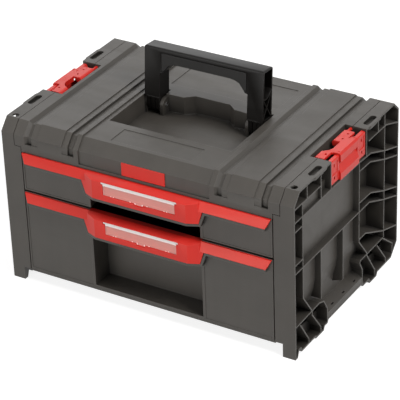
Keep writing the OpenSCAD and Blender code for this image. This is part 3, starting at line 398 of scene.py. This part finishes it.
def clear_cover(name, colour, node):
    """Clear pane over the red pull, partly cloudy plastic and partly a painted sheen; its hinge bar, side
    rims and snap marks are painted near-opaque white as a highlight; it casts no shadow.
    """
    material, tree, shader = new_material(name)
    low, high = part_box(node)
    grain = group_in(tree, "grain", Cell_Size=14.0 * MM, Depth=1.0)
    place = add(tree, "ShaderNodeSeparateXYZ")
    tree.links.new(add(tree, "ShaderNodeTexCoord").outputs["Object"], place.inputs[0])
    # Painted highlight: the hinge bar, side rims and snap marks turn near-opaque white
    bar = inside(tree, place.outputs["Z"], high[2] - BAR_HIGH, high[2] + MM)
    middle_x = maths(tree, "ABSOLUTE", maths(tree, "SUBTRACT", place.outputs["X"], (low[0] + high[0]) / 2))
    half = (high[0] - low[0]) / 2
    highlit_rim = maths(tree, "MAXIMUM", bar, inside(tree, middle_x, half - RIM_WIDE, half + MM))
    foot = inside(tree, place.outputs["Z"], low[2] - MM, low[2] + SNAP_HIGH)
    for start, end in SNAPS:
        snap = maths(tree, "MULTIPLY", foot, inside(tree, middle_x, start, end, 0.1 * MM))
        highlit_rim = maths(tree, "MAXIMUM", highlit_rim, snap)
    pane = mix_colour(tree, grain.outputs["Tone"], opaque(colour, 0.97), opaque(colour))
    tree.links.new(mix_colour(tree, highlit_rim, pane, RIM_HIGHLIGHT_WHITE), shader.inputs["Base Color"])
    # The pane's cloudiness: partly the plastic's own, partly a painted sheen
    haze_and_sheen = map_range(tree, grain.outputs["Flow"], 0.0, 1.0, PANE_HAZE_AND_SHEEN - 0.01, PANE_HAZE_AND_SHEEN + 0.01)
    front = maths(tree, "SUBTRACT", 1.0, add(tree, "ShaderNodeNewGeometry").outputs["Backfacing"])
    shadow_ray = add(tree, "ShaderNodeLightPath").outputs["Is Shadow Ray"]
    seen = maths(tree, "SUBTRACT", front, shadow_ray, clamp=True)
    cloud_and_highlight = map_range(tree, highlit_rim, 0.0, 1.0, haze_and_sheen, THICK_HIGHLIGHT)
    tree.links.new(maths(tree, "MULTIPLY", seen, cloud_and_highlight), shader.inputs["Alpha"])
    tree.links.new(map_range(tree, grain.outputs["Flow"], 0.0, 1.0, 0.32, 0.38), shader.inputs["Roughness"])
    bump = add(tree, "ShaderNodeBump", inputs={"Strength": 0.05, "Distance": BUMP_HEIGHT})
    tree.links.new(grain.outputs["Height"], bump.inputs["Height"])
    tree.links.new(bump.outputs["Normal"], shader.inputs["Normal"])
    return material


FINISH = {}


def prepare_finishes(scene):
    """Builds the shared groups and each finish once."""
    if FINISH:
        return
    colours = scene.tool_box_colours
    finish = scene.tool_box_finish
    GROUPS["grain"] = build_grain_group()
    GROUPS["edges"] = build_edge_group()
    GROUPS["marks"] = build_scuff_group()
    edge = finish.edge_radius
    cell = finish.grain_size
    # Each moulding paints a highlight, together with rubbed wear, on its outer edges, and shade in its
    # creases and recesses
    FINISH["shell"] = moulded_plastic(
        "Housing plastic", colours.shell, rough=finish.shell_rough, cell=cell, depth=1.0,
        edge=edge, edge_highlight_lift=2.1, scuff=0.5, tone_change=0.10)
    FINISH["handle"] = moulded_plastic(
        "Handle plastic", colours.handle, rough=0.34, cell=cell, depth=0.5,
        edge=edge, edge_highlight_lift=4.0, scuff=0.4, tone_change=0.05, crease_shade=0.3, gloss=0.2)
    FINISH["grip"] = moulded_plastic(
        "Grip rubber", colours.grip, rough=0.6, cell=1.4 * cell, depth=2.0,
        edge=edge, edge_highlight_lift=2.0, scuff=0.2, tone_change=0.06, crease_shade=0.3, gloss=0.3)
    FINISH["red"] = moulded_plastic(
        "Red plastic", colours.red, rough=finish.red_rough, cell=0.8 * cell, depth=0.5,
        edge=edge, edge_highlight_lift=1.35, scuff=0.3, tone_change=0.04, crease_shade=0.92, sheen=(1.0, 0.86, 0.76))
    for storey in ("upper", "lower"):
        node = storey + "_label_cover"
        FINISH[storey + " cover"] = clear_cover("Clear cover " + storey, colours.label, node)
    FINISH["steel"] = steel("Pin steel", colours.steel)


def dress(node, finish):
    """Gives a carried-over node its finish."""
    mesh = frame["nodes"][node].data
    mesh.materials.clear()
    mesh.materials.append(FINISH[finish])


# ---------------------------------------------------------------- eased pieces


def body_of(node):
    """The body that a carried-over node rides on."""
    for body, nodes in frame["record"]["behaviour"]["bodies"].items():
        if node in nodes:
            return body
    raise RuntimeError("no body carries " + node)


def eased_copy(node, finish, width):
    """A copy of a node with its sharp edges rounded, which stands for the node."""
    bpy.ops.object.select_all(action="DESELECT")
    mesh = frame["nodes"][node].data.copy()
    mesh.name = node + "_eased"
    piece = bpy.data.objects.new(node + "_eased", mesh)
    bpy.context.scene.collection.objects.link(piece)
    piece.select_set(True)
    bpy.context.view_layer.objects.active = piece
    bpy.ops.object.mode_set(mode="EDIT")
    bpy.ops.mesh.select_all(action="SELECT")
    bpy.ops.mesh.remove_doubles(threshold=0.002 * MM)
    bpy.ops.mesh.dissolve_limited(angle_limit=math.radians(1.0))
    bpy.ops.object.mode_set(mode="OBJECT")
    bevel = piece.modifiers.new("Eased edges", "BEVEL")
    bevel.limit_method = "ANGLE"
    bevel.angle_limit = math.radians(32.0)
    bevel.width = width
    bevel.segments = 2
    bevel.use_clamp_overlap = True
    bpy.ops.object.modifier_apply(modifier=bevel.name)
    bpy.ops.object.shade_smooth_by_angle(angle=math.radians(20.0))
    mesh = piece.data
    mesh.materials.clear()
    mesh.materials.append(FINISH[finish])
    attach(piece, body_of(node))
    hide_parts(node)


# ---------------------------------------------------------------- operators


def dress_all(context, finishes):
    """Gives each carried-over node in a table its finish."""
    prepare_finishes(context.scene)
    for node, finish in finishes.items():
        dress(node, finish)


class TOOLBOX_OT_side_frames(bpy.types.Operator):
    """Finish the two ribbed side frames"""

    bl_idname = "toolbox.side_frames"
    bl_label = "Side frames"
    bl_options = {"REGISTER", "UNDO"}

    def execute(self, context):
        dress_all(context, {"side_frame_left": "shell", "side_frame_right": "shell"})
        return {"FINISHED"}


class TOOLBOX_OT_top_cover(bpy.types.Operator):
    """Finish the grooved top cover and the badge plate"""

    bl_idname = "toolbox.top_cover"
    bl_label = "Top cover"
    bl_options = {"REGISTER", "UNDO"}

    def execute(self, context):
        dress_all(context, {"deck_cover": "shell", "badge_plate": "red"})
        return {"FINISHED"}


class TOOLBOX_OT_back_and_base(bpy.types.Operator):
    """Finish the back panel, the base plate and the screws"""

    bl_idname = "toolbox.back_and_base"
    bl_label = "Back and base"
    bl_options = {"REGISTER", "UNDO"}

    def execute(self, context):
        dress_all(context, {"back_panel": "shell", "base_plate": "shell", "body_screws": "steel"})
        return {"FINISHED"}


class TOOLBOX_OT_handle(bpy.types.Operator):
    """Finish the handle, its grip inserts and its pins"""

    bl_idname = "toolbox.handle"
    bl_label = "Handle"
    bl_options = {"REGISTER", "UNDO"}

    def execute(self, context):
        dress_all(context, {"handle_grip": "grip", "handle_pin_left": "steel", "handle_pin_right": "steel"})
        eased_copy("handle_bow", "handle", context.scene.tool_box_finish.edge_radius)
        return {"FINISHED"}


class TOOLBOX_OT_latches(bpy.types.Operator):
    """Finish the red stacking latches"""

    bl_idname = "toolbox.latches"
    bl_label = "Latches"
    bl_options = {"REGISTER", "UNDO"}

    def execute(self, context):
        dress_all(context, {"latch_link_left": "red", "latch_link_right": "red",
                            "latch_clip_left": "red", "latch_clip_right": "red"})
        return {"FINISHED"}


class TOOLBOX_OT_drawers(bpy.types.Operator):
    """Finish the drawer trays and their pulls"""

    bl_idname = "toolbox.drawers"
    bl_label = "Drawers"
    bl_options = {"REGISTER", "UNDO"}

    def execute(self, context):
        dress_all(context, {"upper_tray": "shell", "lower_tray": "shell"})
        for node in ("upper_pull", "lower_pull"):
            eased_copy(node, "red", 0.6 * context.scene.tool_box_finish.edge_radius)
        return {"FINISHED"}


class TOOLBOX_OT_labels(bpy.types.Operator):
    """Finish the clear label covers"""

    bl_idname = "toolbox.labels"
    bl_label = "Labels"
    bl_options = {"REGISTER", "UNDO"}

    def execute(self, context):
        dress_all(context, {"upper_label_cover": "upper cover", "lower_label_cover": "lower cover"})
        return {"FINISHED"}


# ---------------------------------------------------------------- stage


def area_lamp(name, place, aim, size, power, colour):
    """Adds a soft rectangular lamp that points at a spot."""
    data = bpy.data.lights.new(name, "AREA")
    data.shape = "RECTANGLE"
    data.size, data.size_y = size
    data.energy = power
    data.color = colour
    lamp = bpy.data.objects.new(name, data)
    bpy.context.scene.collection.objects.link(lamp)
    lamp.location = place
    lamp.rotation_euler = (Vector(aim) - Vector(place)).to_track_quat("-Z", "Y").to_euler()


def build_camera(stage):
    """Adds the photograph's camera."""
    az, el, roll = stage.azimuth, stage.elevation, stage.roll
    back = Vector((math.sin(az) * math.cos(el), -math.cos(az) * math.cos(el), math.sin(el)))
    right = Vector((math.cos(az), math.sin(az), 0.0))
    up = back.cross(right)
    turned_right = right * math.cos(roll) + up * math.sin(roll)
    turned_up = up * math.cos(roll) - right * math.sin(roll)
    data = bpy.data.cameras.new("Camera")
    data.sensor_width = SENSOR_WIDE
    data.lens = stage.lens
    data.clip_end = 50.0
    camera = bpy.data.objects.new("Camera", data)
    bpy.context.scene.collection.objects.link(camera)
    matrix = Matrix((turned_right, turned_up, back)).transposed().to_4x4()
    matrix.translation = Vector(CAMERA_PLACE)
    camera.matrix_world = matrix
    bpy.context.scene.camera = camera


def seen_rays(tree):
    """A mask that is one for the rays that show the backdrop: straight, reflected or refracted."""
    rays = add(tree, "ShaderNodeLightPath")
    direct = maths(tree, "MAXIMUM", rays.outputs["Is Camera Ray"], rays.outputs["Is Transmission Ray"])
    return maths(tree, "MAXIMUM", direct, rays.outputs["Is Glossy Ray"])


def build_floor():
    """A pale floor that shows white to the camera and keeps the box's soft shadow."""
    bpy.ops.object.select_all(action="DESELECT")
    bpy.ops.mesh.primitive_plane_add(size=12.0, location=(0.0, 0.0, -FLOOR_DROP))
    floor = bpy.context.object
    floor.name = "floor"
    material, tree, shader = new_material("Studio floor")
    shader.inputs["Base Color"].default_value = (0.42, 0.42, 0.42, 1.0)
    shader.inputs["Roughness"].default_value = 0.9
    shader.inputs["Specular IOR Level"].default_value = 0.1
    glow = add(tree, "ShaderNodeEmission", inputs={"Color": (1.0, 1.0, 1.0, 1.0), "Strength": 0.84})
    none = add(tree, "ShaderNodeEmission", inputs={"Strength": 0.0})
    pick = add(tree, "ShaderNodeMixShader")
    tree.links.new(seen_rays(tree), pick.inputs[0])
    tree.links.new(none.outputs[0], pick.inputs[1])
    tree.links.new(glow.outputs[0], pick.inputs[2])
    both = add(tree, "ShaderNodeAddShader")
    tree.links.new(shader.outputs[0], both.inputs[0])
    tree.links.new(pick.outputs[0], both.inputs[1])
    tree.links.new(both.outputs[0], tree.nodes["Material Output"].inputs["Surface"])
    floor.data.materials.append(material)


def build_world(strength):
    """Even studio light, with white behind the object."""
    world = bpy.data.worlds.new("Studio")
    bpy.context.scene.world = world
    world.use_nodes = True
    tree = world.node_tree
    ambient = tree.nodes["Background"]
    ambient.inputs["Color"].default_value = (1.0, 0.985, 0.97, 1.0)
    ambient.inputs["Strength"].default_value = strength
    white = add(tree, "ShaderNodeBackground", inputs={"Color": (1.0, 1.0, 1.0, 1.0), "Strength": 1.0})
    pick = add(tree, "ShaderNodeMixShader")
    tree.links.new(seen_rays(tree), pick.inputs[0])
    tree.links.new(ambient.outputs[0], pick.inputs[1])
    tree.links.new(white.outputs[0], pick.inputs[2])
    tree.links.new(pick.outputs[0], tree.nodes["World Output"].inputs["Surface"])


class TOOLBOX_OT_stage(bpy.types.Operator):
    """Set up the camera, the lamps, the floor and the backdrop"""

    bl_idname = "toolbox.stage"
    bl_label = "Stage"
    bl_options = {"REGISTER", "UNDO"}

    def execute(self, context):
        stage = context.scene.tool_box_stage
        context.scene.view_settings.view_transform = "Standard"
        build_camera(stage)
        build_floor()
        build_world(stage.sky)
        middle = (0.0, 0.0, 0.15)
        area_lamp("Key", (0.1, 0.1, 2.4), middle, (1.6, 1.6), stage.key_power, WARM_WHITE)
        area_lamp("Fill", (-0.3, -2.6, 0.5), middle, (1.8, 0.8), stage.fill_power, WARM_WHITE)
        area_lamp("Side", (1.8, -0.4, 2.0), middle, (0.8, 0.8), stage.side_power, SOFT_WHITE)
        area_lamp("Left", (-2.0, -0.4, 1.6), middle, (1.4, 1.4), stage.left_power, SOFT_WHITE)
        area_lamp("Rim", (-1.1, 1.7, 1.4), middle, (1.6, 1.6), stage.rim_power, (1.0, 1.0, 1.0))
        return {"FINISHED"}


# ---------------------------------------------------------------- panel and main


OPERATORS = (TOOLBOX_OT_side_frames, TOOLBOX_OT_top_cover, TOOLBOX_OT_back_and_base, TOOLBOX_OT_handle,
             TOOLBOX_OT_latches, TOOLBOX_OT_drawers, TOOLBOX_OT_labels, TOOLBOX_OT_stage)


class TOOLBOX_PT_build(bpy.types.Panel):
    """Sizes, colours and steps of the tool box"""

    bl_idname = "TOOLBOX_PT_build"
    bl_label = "Tool Box"
    bl_space_type = "VIEW_3D"
    bl_region_type = "UI"
    bl_category = "Tool Box"

    def draw(self, context):
        layout = self.layout
        scene = context.scene
        for settings in (scene.tool_box_colours, scene.tool_box_finish, scene.tool_box_stage):
            column = layout.column(align=True)
            for name in settings.bl_rna.properties.keys():
                if name not in ("rna_type", "name"):
                    column.prop(settings, name)
        for operator in OPERATORS:
            layout.operator(operator.bl_idname)


SETTINGS = (ToolBoxColours, ToolBoxFinish, ToolBoxStage)
CLASSES = SETTINGS + OPERATORS + (TOOLBOX_PT_build,)


def register():
    """Registers the classes and the settings."""
    for cls in CLASSES:
        bpy.utils.register_class(cls)
    bpy.types.Scene.tool_box_colours = PointerProperty(type=ToolBoxColours)
    bpy.types.Scene.tool_box_finish = PointerProperty(type=ToolBoxFinish)
    bpy.types.Scene.tool_box_stage = PointerProperty(type=ToolBoxStage)


def unregister():
    """Removes the settings and the classes."""
    for name in ("tool_box_colours", "tool_box_finish", "tool_box_stage"):
        delattr(bpy.types.Scene, name)
    for cls in reversed(CLASSES):
        bpy.utils.unregister_class(cls)


def main():
    """Builds every piece in order."""
    register()
    bpy.ops.toolbox.side_frames()
    bpy.ops.toolbox.top_cover()
    bpy.ops.toolbox.back_and_base()
    bpy.ops.toolbox.handle()
    bpy.ops.toolbox.latches()
    bpy.ops.toolbox.drawers()
    bpy.ops.toolbox.labels()
    bpy.ops.toolbox.stage()


if __name__ == "__main__":
    main()
